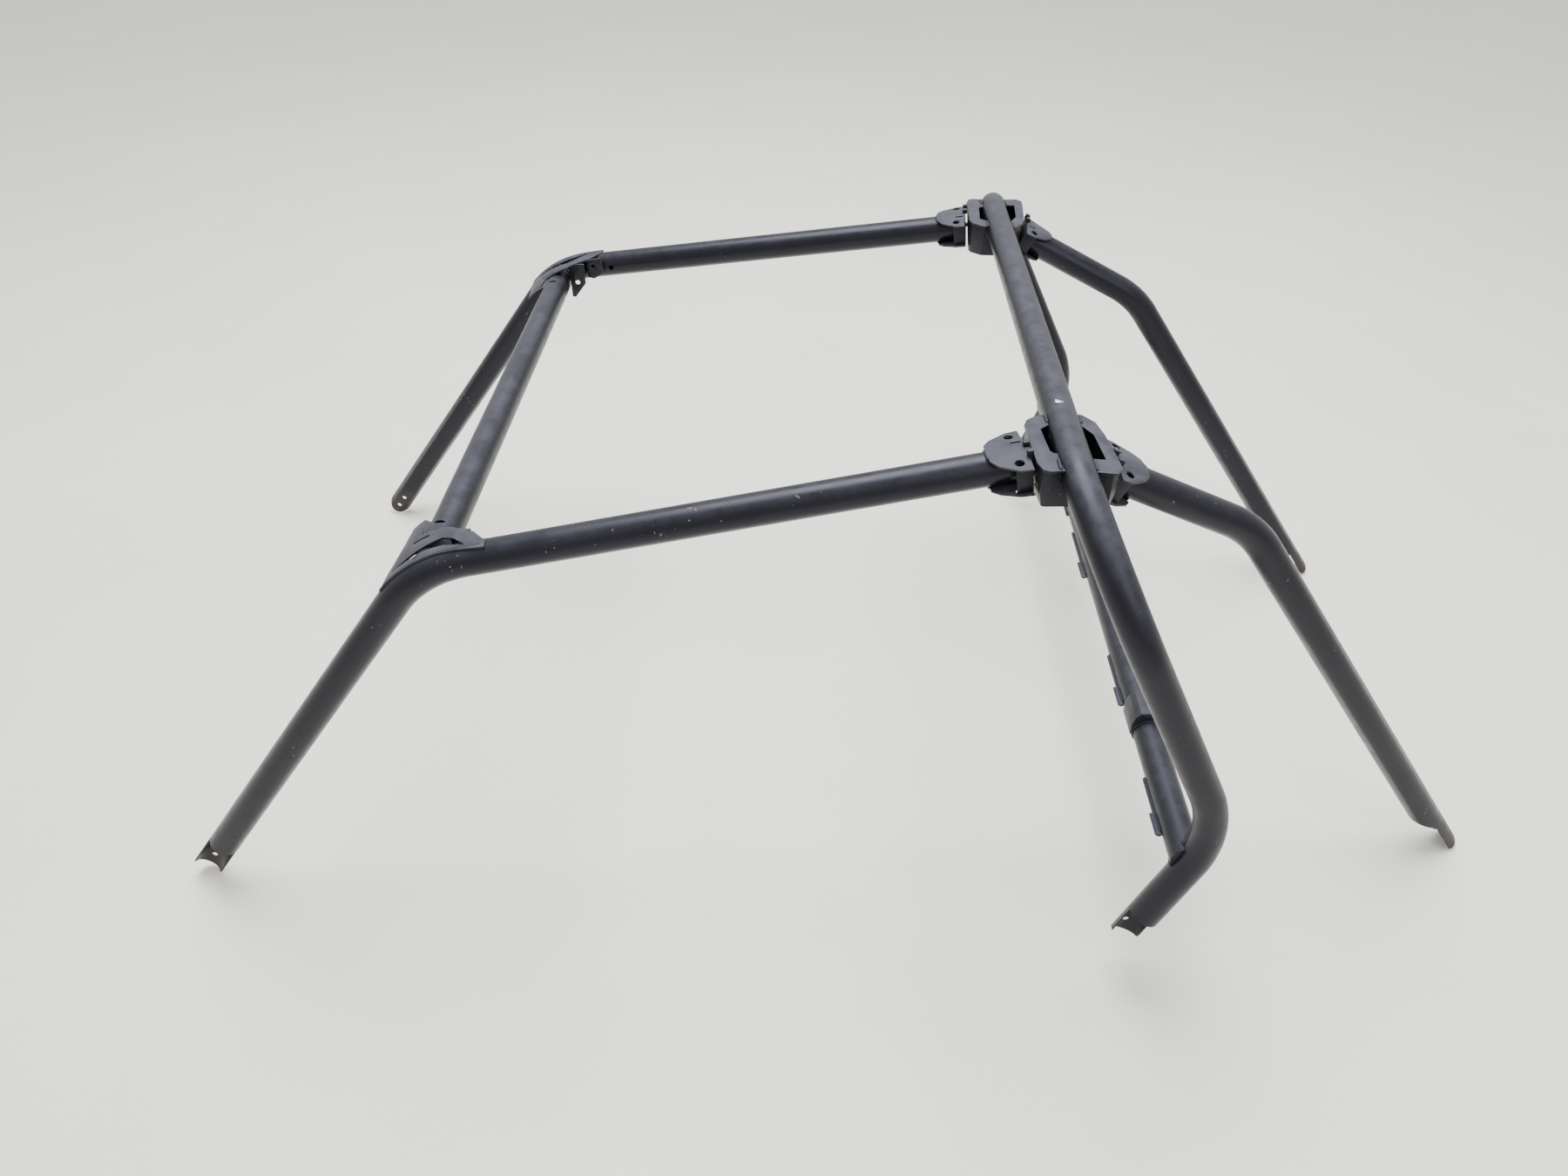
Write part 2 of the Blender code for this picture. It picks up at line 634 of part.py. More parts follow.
def main():
    clear_scene()
    parts = new_collection(NAME)
    tools = new_collection("cutters")
    hoop_clear = make_hoop(parts, tools)
    rail_clears = []
    for label, side in SIDES:
        rail, clear = make_rail(label, side, parts, tools)
        rail_clears.append(clear)
        make_strut(label, side, parts, tools)
        make_joint(label, side, hoop_clear, parts, tools)
        for end in ("front", "rear"):
            make_rail_end(label, side, end, parts, tools)
            make_joint_bolt(label, side, end, parts, tools)
        gusset_clear = make_gusset(label, side, parts, tools)
        make_roof_tabs(label, side, gusset_clear, clear, parts, tools)
    make_cross_tubes(hoop_clear, rail_clears, parts, tools)
    x, z = HOOP_CROSS
    ends = [at((x, HOOP_BEND[1], z), -1), at((x, HOOP_BEND[1], z), 1)]
    cross_clear = rod("crossbar_clearance", TUBE_R + GAP, *ends, tools, TUBE_SIDES)
    make_seat_tabs(cross_clear, parts)
    for label, side in SIDES:
        make_belt_guide(label, side, cross_clear, parts, tools)
    for obj in parts.objects:
        paint(obj, (0.022, 0.022, 0.026), 0.38)
    for obj in tools.objects:
        obj.hide_render = True
        obj.display_type = "WIRE"


main()
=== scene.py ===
"""Looks of the roll cage: smooth tubes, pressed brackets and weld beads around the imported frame."""
import math
import random

import bpy
import bmesh
from mathutils import Matrix, Vector


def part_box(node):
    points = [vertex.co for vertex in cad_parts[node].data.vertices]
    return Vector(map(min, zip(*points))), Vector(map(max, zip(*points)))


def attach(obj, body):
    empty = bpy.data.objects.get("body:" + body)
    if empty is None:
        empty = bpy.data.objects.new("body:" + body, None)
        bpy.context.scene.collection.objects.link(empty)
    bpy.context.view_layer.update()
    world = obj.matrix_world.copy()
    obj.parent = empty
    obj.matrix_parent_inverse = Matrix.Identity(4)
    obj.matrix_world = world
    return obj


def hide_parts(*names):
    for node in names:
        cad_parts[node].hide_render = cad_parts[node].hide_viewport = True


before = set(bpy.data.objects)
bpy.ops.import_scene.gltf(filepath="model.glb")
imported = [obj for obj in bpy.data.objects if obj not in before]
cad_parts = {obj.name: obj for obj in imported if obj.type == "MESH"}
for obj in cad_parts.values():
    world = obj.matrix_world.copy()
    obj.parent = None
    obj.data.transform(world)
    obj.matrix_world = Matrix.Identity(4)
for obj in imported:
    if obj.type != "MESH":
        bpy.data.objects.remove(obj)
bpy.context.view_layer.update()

# Camera, in the frame's metres and radians
CAMERA_AT = Vector((-0.0667, -1.5847, 1.4767))
CAMERA_DOWN = 0.6761
CAMERA_YAW = -0.0176
CAMERA_ROLL = -0.0215
CAMERA_LEAN = 0.0080
CAMERA_LENS = 25.62

# The cage, as in the CAD: stations along X are measured from the hoop's top tube
HOOP_X = 0.2556
TUBE_R = 0.02222
TUBE_WALL = 0.0025
TUBE_SIDES = 64
HOOP_CORNER = (0.0000, 0.6010, 0.7520)
HOOP_BEND = (0.2360, 0.6165, 0.3100)
HOOP_FOOT = (0.1506, 0.6223, 0.0681)
HOOP_TOP_BEND_R = 0.195
HOOP_LOW_BEND_R = 0.173
RAIL_FOOT = (-1.2622, 0.5128, 0.0101)
RAIL_CORNER = (-0.8173, 0.4740, 0.6026)
RAIL_JOINT = (0.0000, 0.3895, 0.7411)
RAIL_BEND_R = 0.165
STRUT_JOINT = (0.0000, 0.3955, 0.7441)
STRUT_BEND = (0.2679, 0.3645, 0.6189)
STRUT_FOOT = (0.7440, 0.3680, -0.0010)
STRUT_BEND_R = 0.160
FRONT_CROSS = (-0.8074, 0.5925)
HOOP_CROSS = (0.2038, 0.2499)
TUBE_END = 0.0558

# Feet: steps along the tube, the rounded tips, the bolt holes and the struts' tongues
RAIL_STEP = 0.085
HOOP_STEP = 0.063
STEP_DEPTH = 0.002
TIP_BACK = 0.018
TIP_WIDTH = 1.02 * TUBE_R
FOOT_HOLE_R = 0.0045
FOOT_HOLES = (0.021, 0.047)
RAIL_HOLE = 0.113
TONGUE_LENGTH = 0.078
TONGUE_DEPTH = 0.005
TONGUE_TIP = 0.0092
TONGUE_FILLET = 0.012
TONGUE_SLANT = 0.040
TONGUE_PAST = 0.02

# Crossbars: how far their ends stop short of, or run past, the side tubes' axes
BAR_BACK = 0.0125
BAR_OVER = 0.0040
BAR_STEPS = 24
SLIT_Y = 0.388
SLIT_X = -0.002
SLIT_HALF = (0.0075, 0.0030)
SLIT_DEPTH = 0.012
SLIT_POINTS = 16

# Joint brackets, in the rail's frame
SHEET = 0.0030
JOINT_Y = 0.3895
WING_Z = 0.7586
END_NEAR = 0.0525
END_HEIGHT = TUBE_R + 0.0018
EAR_TIP = 0.1010
EAR_FOLD = 0.13
EAR_HOLE = (0.067, 0.031)
EAR_HOLE_R = 0.0062
EAR_DRILL = (0.006, 0.060)
LUG_AT = (0.000, 0.021)
LUG_LOW = (-0.0050, -0.0038, -0.002)
LUG_HIGH = (0.0030, 0.0038, 0.0062)
LUG_BEVEL = 0.0014

# Front corners
TAB_LOWER = 0.014
GUSSET_SINK = 0.0022
GUSSET_TOE = 0.097
GUSSET_EDGE = (-0.058, 0.094)
FILLET_FRONT = 0.72 * TUBE_R
FILLET_INNER = (0.010, 0.62 * TUBE_R)
FILLET_OUTER = (0.060, 0.70 * TUBE_R)
FILLET_LOW = (-0.006, 0.050, -0.008)

# Hoop crossbar: seat tabs and belt guides
TAB_SHEET = 0.0040
TAB_TILT = math.radians(20)
GUIDE_Y = 0.339
GUIDE_OUTER = 0.381
GUIDE_LENGTH = 0.050
GUIDE_PROFILE = ((-0.0255, -0.006), (-0.0265, 0.014), (-0.0225, 0.029), (-0.0160, 0.0365),
                 (0.0140, 0.0385), (0.0600, 0.0250), (0.0610, 0.0000), (0.0240, -0.006))
GUIDE_WALL = 0.0035
GUIDE_NARROWER = 0.90
GUIDE_SHIFT = 0.001
GUIDE_CEILING = 0.0340
GUIDE_BELOW = 0.02
GUIDE_HOLE = (0.046, 0.012)
GUIDE_HOLE_R = 0.0058
GUIDE_BEVEL = 0.0016

# Paper remnant
LABEL_OUTLINE = ((-0.005, -0.004), (0.006, -0.0005), (-0.004, 0.0055), (-0.0052, 0.001))
LABEL_AT = (-0.004, -0.314)
LABEL_SHEET = 0.0004

# Weld beads
BEAD_R = 0.0027
BEAD_PITCH = 0.0038
BEAD_RIPPLES = 5
THIN_BEAD_R = 0.0024
TAB_BEAD_R = 0.0018
JOIN_BEAD_R = 0.0030
GUSSET_BEAD_R = 0.0031
SKIN = 0.0004
SADDLE_START = 0.40

# Edge bevels of the brackets
PLATE_BEVEL = 0.0008
GUSSET_BEVEL = 0.0009
WING_BEVEL = 0.0010
BOX_BEVEL = 0.0022
BOLT_BEVEL = 0.0004
TUBE_BEVEL = 0.0005

SIDES = (("left", -1), ("right", 1))
ENDS = (("front", -1), ("rear", 1))
random.seed(7)


def link(obj):
    bpy.context.scene.collection.objects.link(obj)
    return obj


def at(point, side=1):
    """A station (x from the hoop, y outboard, z) as a world point on one side."""
    x, y, z = point
    return Vector((x + HOOP_X, y * side, z))


def axes_at(origin, along, across):
    """Axes at origin: X along, Y near across, Z square to both."""
    along = along.normalized()
    across = (across - across.dot(along) * along).normalized()
    rot = Matrix((along, across, along.cross(across))).transposed().to_4x4()
    return Matrix.Translation(origin) @ rot


def rail_frame(side, end):
    """Origin on the hoop's axis, X out along the rail or strut, Y outboard, Z up."""
    joint, corner = (RAIL_JOINT, RAIL_CORNER) if end == "front" else (STRUT_JOINT, STRUT_BEND)
    joint, corner = at(joint, side), at(corner, side)
    axes = axes_at(joint, corner - joint, Vector((0, side, 0)))
    if axes.to_3x3().col[2].z < 0:
        axes = axes @ Matrix.Diagonal((1, 1, -1, 1))
    return axes


def rounded_path(corners, radii, steps=28):
    """Straight runs joined by arcs, each arc in the given number of steps."""
    points = [corners[0]]
    for before, corner, after, r in zip(corners, corners[1:], corners[2:], radii):
        into = (corner - before).normalized()
        out = (after - corner).normalized()
        half = into.angle(out) / 2
        start = corner - into * r * math.tan(half)
        centre = corner + (out - into).normalized() * r / math.cos(half)
        spin = into.cross(out).normalized()
        for i in range(steps + 1):
            turn = Matrix.Rotation(2 * half * i / steps, 3, spin)
            points.append(centre + turn @ (start - centre))
    points.append(corners[-1])
    return points


def baked(obj):
    """The evaluated object as a plain mesh object; the original is removed."""
    bpy.context.view_layer.update()
    deps = bpy.context.evaluated_depsgraph_get()
    mesh = bpy.data.meshes.new_from_object(obj.evaluated_get(deps))
    mesh.transform(obj.matrix_world)
    if obj.matrix_world.determinant() < 0:
        mesh.flip_normals()
    name = obj.name
    bpy.data.objects.remove(obj, do_unlink=True)
    return link(bpy.data.objects.new(name, mesh))


def closed_up(obj):
    """Merges doubled vertices and turns every face outward."""
    bm = bmesh.new()
    bm.from_mesh(obj.data)
    bmesh.ops.remove_doubles(bm, verts=bm.verts, dist=1e-6)
    bmesh.ops.recalc_face_normals(bm, faces=bm.faces)
    bm.to_mesh(obj.data)
    bm.free()
    return obj


def smooth(obj, angle):
    mesh = obj.data
    mesh.shade_smooth()
    mesh.set_sharp_from_angle(angle=math.radians(angle))


def bevel(obj, width, segments, angle):
    mod = obj.modifiers.new("bevel", "BEVEL")
    mod.width = width
    mod.segments = segments
    mod.limit_method = "ANGLE"
    mod.angle_limit = math.radians(angle)


def sweep(name, points, radius, sides=TUBE_SIDES, caps=False):
    """A round rod along the points."""
    curve = bpy.data.curves.new(name, "CURVE")
    curve.dimensions = "3D"
    curve.bevel_depth = radius
    curve.bevel_resolution = (sides - 4) // 2
    curve.use_fill_caps = caps
    spline = curve.splines.new("POLY")
    spline.points.add(len(points) - 1)
    for knot, point in zip(spline.points, points):
        knot.co = (*point, 1.0)
    return closed_up(baked(link(bpy.data.objects.new(name, curve))))


def plate(name, outline, thickness, matrix, holes=()):
    """A flat outline, with holes, thickened evenly about the matrix's XY plane."""
    curve = bpy.data.curves.new(name, "CURVE")
    curve.dimensions = "2D"
    curve.fill_mode = "BOTH"
    curve.extrude = thickness / 2
    for loop in (outline, *holes):
        spline = curve.splines.new("POLY")
        spline.points.add(len(loop) - 1)
        for knot, (x, y) in zip(spline.points, loop):
            knot.co = (x, y, 0.0, 1.0)
        spline.use_cyclic_u = True
    obj = link(bpy.data.objects.new(name, curve))
    obj.matrix_world = matrix
    return closed_up(baked(obj))


def block(low, high, matrix):
    """A box between two corners in the matrix's axes."""
    (x0, y0, z0), (x1, y1, z1) = low, high
    flat = [(x0, y0), (x1, y0), (x1, y1), (x0, y1)]
    return plate("block", flat, z1 - z0, matrix @ Matrix.Translation((0, 0, (z0 + z1) / 2)))


def cut(obj, *cutters):
    """Cuts each cutter from the object, and removes the cutters."""
    for cutter in cutters:
        mod = obj.modifiers.new("cut", "BOOLEAN")
        mod.operation = "DIFFERENCE"
        mod.solver = "EXACT"
        mod.object = cutter
    done = baked(obj)
    for cutter in cutters:
        bpy.data.objects.remove(cutter, do_unlink=True)
    return done


def pipe(name, points):
    """A tube with a wall along the points."""
    obj = sweep(name, points, TUBE_R)
    wall = obj.modifiers.new("wall", "SOLIDIFY")
    wall.thickness = TUBE_WALL
    wall.offset = -1.0
    return obj


def hoop_points():
    corners = [at(p, -1) for p in (HOOP_FOOT, HOOP_BEND, HOOP_CORNER)]
    corners += [at(p, 1) for p in (HOOP_CORNER, HOOP_BEND, HOOP_FOOT)]
    radii = (HOOP_LOW_BEND_R, HOOP_TOP_BEND_R, HOOP_TOP_BEND_R, HOOP_LOW_BEND_R)
    return rounded_path(corners, radii)


def rail_points(side):
    foot, corner, joint = (at(p, side) for p in (RAIL_FOOT, RAIL_CORNER, RAIL_JOINT))
    end = joint + (corner - joint).normalized() * TUBE_END
    return rounded_path([foot, corner, end], (RAIL_BEND_R,))


def strut_points(side):
    foot, bend, joint = (at(p, side) for p in (STRUT_FOOT, STRUT_BEND, STRUT_JOINT))
    end = joint + (bend - joint).normalized() * TUBE_END
    return rounded_path([end, bend, foot], (STRUT_BEND_R,))


def tip_outline(steps=24):
    """Everything past a rounded tip, along the tube and across it."""
    wide = 1.5 * TUBE_R
    points = [(-wide, -wide), (TIP_BACK, -wide)]
    for i in range(steps + 1):
        turn = math.pi * (i / steps - 0.5)
        points.append((TIP_BACK * (1 - math.cos(turn)), TIP_WIDTH * math.sin(turn)))
    return points + [(TIP_BACK, wide), (-wide, wide)]


def foot_cutters(foot, above, length, side):
    """Cutters that leave a tube's foot as a rounded inboard tongue with two bolt holes."""
    axes = axes_at(foot, above - foot, Vector((0, 1, 0)))
    reach = 2 * TUBE_R
    low = min(-STEP_DEPTH * side, side * reach)
    high = max(-STEP_DEPTH * side, side * reach)
    step = block((-reach, low, -reach), (length, high, reach), axes)
    flat = axes @ Matrix.Rotation(math.radians(90), 4, "X")
    tools = [step, plate("tip", tip_outline(), 2 * reach, flat)]
    for along in FOOT_HOLES:
        ends = [axes @ Vector((along, -side * r, 0)) for r in (0, reach)]
        tools.append(sweep("hole", ends, FOOT_HOLE_R, 32, caps=True))
    return tools


# ---------------------------------------------------------------- materials

BLACK = (0.0042, 0.0041, 0.0060)
BRACKET_BLACK = (0.0062, 0.0062, 0.0076)
WELD_BLACK = (0.0060, 0.0060, 0.0072)
# Dust mixed with a painted bluish sheen: reflected light painted into the colour of faces turned up
DUST_AND_SHEEN = (0.092, 0.096, 0.122)
SCRATCH = (0.135, 0.132, 0.135)
CHIP = (0.19, 0.155, 0.12)
WORN = (0.17, 0.165, 0.16)
GRIME = (0.046, 0.036, 0.029)
GRIME_TOP = 0.045
SHEEN = (0.82, 0.82, 1.0, 1.0)
ZINC_TONES = ((0.34, 0.33, 0.31), (0.20, 0.17, 0.12))
PAPER_TONES = ((0.78, 0.78, 0.76), (0.60, 0.59, 0.56))
FLOOR_TONES = ((0.90, 0.89, 0.815), (0.865, 0.855, 0.775))


def node(tree, kind, **values):
    made = tree.nodes.new(kind)
    for key, value in values.items():
        if key.startswith("in_"):
            made.inputs[key[3:].replace("_", " ")].default_value = value
        else:
            setattr(made, key, value)
    return made


def ramp(tree, source, low, high, out_low=0.0, out_high=1.0):
    """A smooth step on a value."""
    made = node(tree, "ShaderNodeMapRange", interpolation_type="SMOOTHSTEP")
    limits = {"From Min": low, "From Max": high, "To Min": out_low, "To Max": out_high}
    for socket, value in limits.items():
        made.inputs[socket].default_value = value
    tree.links.new(source, made.inputs["Value"])
    return made.outputs["Result"]


def maths(tree, operation, first, second):
    made = node(tree, "ShaderNodeMath", operation=operation)
    for i, value in enumerate((first, second)):
        if isinstance(value, (int, float)):
            made.inputs[i].default_value = value
        else:
            tree.links.new(value, made.inputs[i])
    return made.outputs[0]


def mixed(tree, factor, first, second):
    """Colours blended by a factor."""
    made = node(tree, "ShaderNodeMix", data_type="RGBA")
    tree.links.new(factor, made.inputs["Factor"])
    for name, value in (("A", first), ("B", second)):
        socket = [s for s in made.inputs if s.name == name and s.type == "RGBA"][0]
        if isinstance(value, tuple):
            socket.default_value = (*value, 1.0)
        else:
            tree.links.new(value, socket)
    return [s for s in made.outputs if s.type == "RGBA"][0]


def noise(tree, place, scale, detail=5.0, rough=0.55, stretch=None):
    made = node(tree, "ShaderNodeTexNoise", in_Scale=scale, in_Detail=detail, in_Roughness=rough)
    if stretch:
        grid = node(tree, "ShaderNodeMapping")
        grid.inputs["Scale"].default_value = stretch
        tree.links.new(place, grid.inputs["Vector"])
        place = grid.outputs["Vector"]
    tree.links.new(place, made.inputs["Vector"])
    return made.outputs["Fac"]


def start_material(name):
    mat = bpy.data.materials.new(name)
    mat.use_nodes = True
    tree = mat.node_tree
    shader = tree.nodes["Principled BSDF"]
    place = node(tree, "ShaderNodeTexCoord").outputs["Object"]
    return mat, tree, shader, place


def paint_material(name, base, dust_and_sheen_colour, gloss, dust_and_sheen_amount, chips, grain, edges=False):
    """Satin black paint: uneven gloss, dust with a painted bluish sheen on what faces up, scratches,
    chips and rusty feet.
    """
    mat, tree, shader, place = start_material(name)
    facing = node(tree, "ShaderNodeSeparateXYZ")
    tree.links.new(node(tree, "ShaderNodeNewGeometry").outputs["Normal"], facing.inputs[0])
    spot = node(tree, "ShaderNodeSeparateXYZ")
    tree.links.new(place, spot.inputs[0])
    broad = noise(tree, place, 7.0, 4.0)
    cloudy = noise(tree, place, 38.0, 6.0, 0.62)
    fine = noise(tree, place, 420.0, 3.0, 0.6)
    tone = mixed(tree, ramp(tree, broad, 0.35, 0.7), base, tuple(1.5 * c for c in base))
    # dust with painted sheen: a lighter bluish film, thicker on top and patchy; the dust is real, the
    # bluish sheen is painted reflection
    up = ramp(tree, facing.outputs["Z"], 0.35, 1.0)
    patch = ramp(tree, cloudy, 0.30, 0.72, 0.45, 1.0)
    dust_and_sheen_film = maths(tree, "MULTIPLY", maths(tree, "MULTIPLY", up, patch), dust_and_sheen_amount)
    tone = mixed(tree, dust_and_sheen_film, tone, dust_and_sheen_colour)
    # long hairline scratches
    hair = ramp(tree, noise(tree, place, 26.0, 3.0, 0.7, grain), 0.67, 0.72)
    hair = maths(tree, "MULTIPLY", hair, ramp(tree, broad, 0.5, 0.62, 0.0, 0.55))
    tone = mixed(tree, hair, tone, SCRATCH)
    # chips through the paint
    bits = ramp(tree, noise(tree, place, 150.0, 2.0, 0.5), 0.705, 0.715)
    where = ramp(tree, noise(tree, place, 11.0, 2.0, 0.5), 0.50, 0.60, 0.0, chips)
    bits = maths(tree, "MULTIPLY", bits, where)
    tone = mixed(tree, bits, tone, CHIP)
    if edges:
        round_edge = node(tree, "ShaderNodeBevel", samples=4, in_Radius=0.0014)
        dot = node(tree, "ShaderNodeVectorMath", operation="DOT_PRODUCT")
        tree.links.new(round_edge.outputs["Normal"], dot.inputs[0])
        tree.links.new(node(tree, "ShaderNodeNewGeometry").outputs["Normal"], dot.inputs[1])
        worn = ramp(tree, dot.outputs["Value"], 0.985, 0.90)
        worn = maths(tree, "MULTIPLY", worn, ramp(tree, cloudy, 0.42, 0.62, 0.05, 0.55))
        tone = mixed(tree, worn, tone, WORN)
    # grime and rust on the cut feet
    uneven = maths(tree, "MULTIPLY", cloudy, -0.07)
    low = ramp(tree, maths(tree, "ADD", spot.outputs["Z"], uneven), GRIME_TOP, 0.0)
    low = maths(tree, "MULTIPLY", low, 0.55)
    tone = mixed(tree, low, tone, GRIME)
    tree.links.new(tone, shader.inputs["Base Color"])
    dull = maths(tree, "MULTIPLY", dust_and_sheen_film, 0.30)
    dull = maths(tree, "ADD", dull, ramp(tree, cloudy, 0.25, 0.75, gloss, gloss + 0.12))
    dull = maths(tree, "ADD", dull, maths(tree, "MULTIPLY", maths(tree, "ADD", low, bits), 0.25))
    tree.links.new(dull, shader.inputs["Roughness"])
    shader.inputs["Metallic"].default_value = 0.0
    shader.inputs["IOR"].default_value = 1.36
    shader.inputs["Specular Tint"].default_value = SHEEN
    skin = maths(tree, "ADD", maths(tree, "MULTIPLY", fine, 0.35), maths(tree, "MULTIPLY", bits, -1.5))
    skin = maths(tree, "ADD", skin, maths(tree, "MULTIPLY", cloudy, 0.5))
    bump = node(tree, "ShaderNodeBump", in_Strength=0.22, in_Distance=0.0006)
    tree.links.new(skin, bump.inputs["Height"])
    tree.links.new(bump.outputs["Normal"], shader.inputs["Normal"])
    return mat


def steel_material():
    """Dull zinc plate with a yellowish bloom."""
    mat, tree, shader, place = start_material("fastener_zinc")
    cloudy = noise(tree, place, 160.0, 5.0)
    tone = mixed(tree, ramp(tree, cloudy, 0.35, 0.65), *ZINC_TONES)
    tree.links.new(tone, shader.inputs["Base Color"])
    tree.links.new(ramp(tree, cloudy, 0.3, 0.7, 0.32, 0.6), shader.inputs["Roughness"])
    shader.inputs["Metallic"].default_value = 0.85
    bump = node(tree, "ShaderNodeBump", in_Strength=0.2, in_Distance=0.0003)
    tree.links.new(noise(tree, place, 900.0), bump.inputs["Height"])
    tree.links.new(bump.outputs["Normal"], shader.inputs["Normal"])
    return mat


def label_material():
    """Torn white paper."""
    mat, tree, shader, place = start_material("torn_label")
    tone = mixed(tree, ramp(tree, noise(tree, place, 300.0), 0.3, 0.7), *PAPER_TONES)
    tree.links.new(tone, shader.inputs["Base Color"])
    shader.inputs["Roughness"].default_value = 0.7
    return mat


def floor_material():
    mat, tree, shader, place = start_material("floor_paint")
    tone = mixed(tree, ramp(tree, noise(tree, place, 1.4, 4.0), 0.3, 0.7), *FLOOR_TONES)
    tree.links.new(tone, shader.inputs["Base Color"])
    tree.links.new(ramp(tree, noise(tree, place, 6.0), 0.3, 0.7, 0.5, 0.7), shader.inputs["Roughness"])
    return mat


# The fifth number sets how much dust and painted sheen lighten the faces turned up
RAIL_PAINT = paint_material("rail_paint", BLACK, DUST_AND_SHEEN, 0.26, 0.20, 0.75, (1.2, 34, 34))
HOOP_PAINT = paint_material("hoop_paint", BLACK, DUST_AND_SHEEN, 0.30, 0.50, 0.25, (34, 1.4, 34))
CROSS_PAINT = paint_material("cross_paint", BLACK, DUST_AND_SHEEN, 0.30, 0.42, 0.20, (34, 1.4, 34))
BRACKET_PAINT = paint_material("bracket_paint", BRACKET_BLACK, DUST_AND_SHEEN, 0.36, 0.66, 0.25,
                               (9, 9, 9), edges=True)
WELD_PAINT = paint_material("weld_paint", WELD_BLACK, DUST_AND_SHEEN, 0.32, 0.40, 0.0, (20, 20, 20))
ZINC = steel_material()


def finish_piece(obj, material, replaced=None):
    obj.data.materials.clear()
    obj.data.materials.append(material)
    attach(obj, "root")
    if replaced:
        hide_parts(replaced)


# ---------------------------------------------------------------- tubes

def make_tubes():
    hoop = pipe("hoop_tube", hoop_points())
    tools = []
    for _, side in SIDES:
        tools += foot_cutters(at(HOOP_FOOT, side), at(HOOP_BEND, side), HOOP_STEP, side)
    finish_tube(cut(hoop, *tools), HOOP_PAINT, "main_hoop")
    for label, side in SIDES:
        foot, corner, joint = (at(p, side) for p in (RAIL_FOOT, RAIL_CORNER, RAIL_JOINT))
        rail = pipe("rail_tube_" + label, rail_points(side))
        tools = foot_cutters(foot, corner, RAIL_STEP, side)
        spot = corner + (joint - corner).normalized() * RAIL_HOLE
        inboard = spot - Vector((0, side * 2 * TUBE_R, 0))
        tools.append(sweep("hole", [spot, inboard], FOOT_HOLE_R, 32, caps=True))
        finish_tube(cut(rail, *tools), RAIL_PAINT, "front_rail_" + label)
        strut = pipe("strut_tube_" + label, strut_points(side))
        finish_tube(cut(strut, *strut_cutter(side)), RAIL_PAINT, "rear_strut_" + label)
    make_crossbar("front_crossbar", FRONT_CROSS, RAIL_CORNER[1] - BAR_BACK, slits=True)
    make_crossbar("hoop_crossbar", HOOP_CROSS, HOOP_BEND[1] + BAR_OVER)


def make_crossbar(name, station, half, slits=False):
    """A bar across the cage, closed at its ends, with a short slot near each end if slits is set."""
    x, z = station
    low, high = (at((x, y, z)) for y in (-half, half))
    points = [low.lerp(high, i / BAR_STEPS) for i in range(BAR_STEPS + 1)]
    bar = sweep(name + "_tube", points, TUBE_R, caps=True)
    if slits:
        turns = [2 * math.pi * i / SLIT_POINTS for i in range(SLIT_POINTS)]
        rim = [(SLIT_HALF[0] * math.cos(t), SLIT_HALF[1] * math.sin(t)) for t in turns]
        places = [at((x + SLIT_X, SLIT_Y, z + TUBE_R), side) for _, side in SIDES]
        bar = cut(bar, *[plate("slit", rim, SLIT_DEPTH, Matrix.Translation(p)) for p in places])
    finish_tube(bar, CROSS_PAINT, name)


def finish_tube(obj, material, replaced):
    bevel(obj, TUBE_BEVEL, 1, 50)
    obj = baked(obj)
    smooth(obj, 32)
    finish_piece(obj, material, replaced)


def strut_cutter(side):
    """The front of the strut's end goes, at a slant, and its rear wall stays as a tongue."""
    bend, foot = (at(p, side) for p in (STRUT_BEND, STRUT_FOOT))
    axes = axes_at(foot, bend - foot, Vector((0, 1, 0)))
    reach = 2 * TUBE_R
    shelf = TONGUE_LENGTH - TONGUE_FILLET
    outline = [(-TONGUE_PAST, -TONGUE_DEPTH), (shelf, -TONGUE_DEPTH)]
    for i in range(9):
        bow = math.radians(90 - 55 * i / 8)
        outline.append((shelf + TONGUE_FILLET * math.cos(bow), 0.010 - TONGUE_FILLET * math.sin(bow)))
    outline += [(TONGUE_LENGTH + TONGUE_SLANT, reach), (-TONGUE_PAST, reach)]
    turn = Matrix.Rotation(math.radians(90), 4, "X")
    down = (axes.to_3x3() @ Vector((0, 0, 1))).x < 0
    flip = Matrix.Identity(4) if down else Matrix.Diagonal((1, -1, 1, 1))
    middle = -(TUBE_R + TONGUE_DEPTH) / 2
    tip = [(-reach, -reach), (TONGUE_TIP, -reach)]
    for i in range(17):
        swing = math.pi * (i / 16 - 0.5)
        tip.append((TONGUE_TIP * (1 - math.cos(swing)), middle + TONGUE_TIP * math.sin(swing)))
    tip += [(TONGUE_TIP, reach), (-reach, reach)]
    return [plate("strut_cut", edge, 2 * reach, axes @ turn @ flip) for edge in (outline, tip)]


# ---------------------------------------------------------------- brackets

def copied(name, node_name):
    """A clean copy of a CAD node's mesh, with flat faces joined up again."""
    mesh = frame_object(node_name).data.copy()
    obj = link(bpy.data.objects.new(name, mesh))
    bm = bmesh.new()
    bm.from_mesh(mesh)
    bmesh.ops.remove_doubles(bm, verts=bm.verts, dist=1e-5)
    bmesh.ops.dissolve_limit(bm, angle_limit=math.radians(0.6), verts=bm.verts, edges=bm.edges)
    bmesh.ops.recalc_face_normals(bm, faces=bm.faces)
    for edge in bm.edges:
        edge.smooth = True
    bm.to_mesh(mesh)
    bm.free()
    for layer in list(mesh.attributes):
        if layer.name in ("custom_normal", "sharp_edge", "sharp_face"):
            mesh.attributes.remove(layer)
    return obj


def frame_object(node_name):
    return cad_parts[node_name]


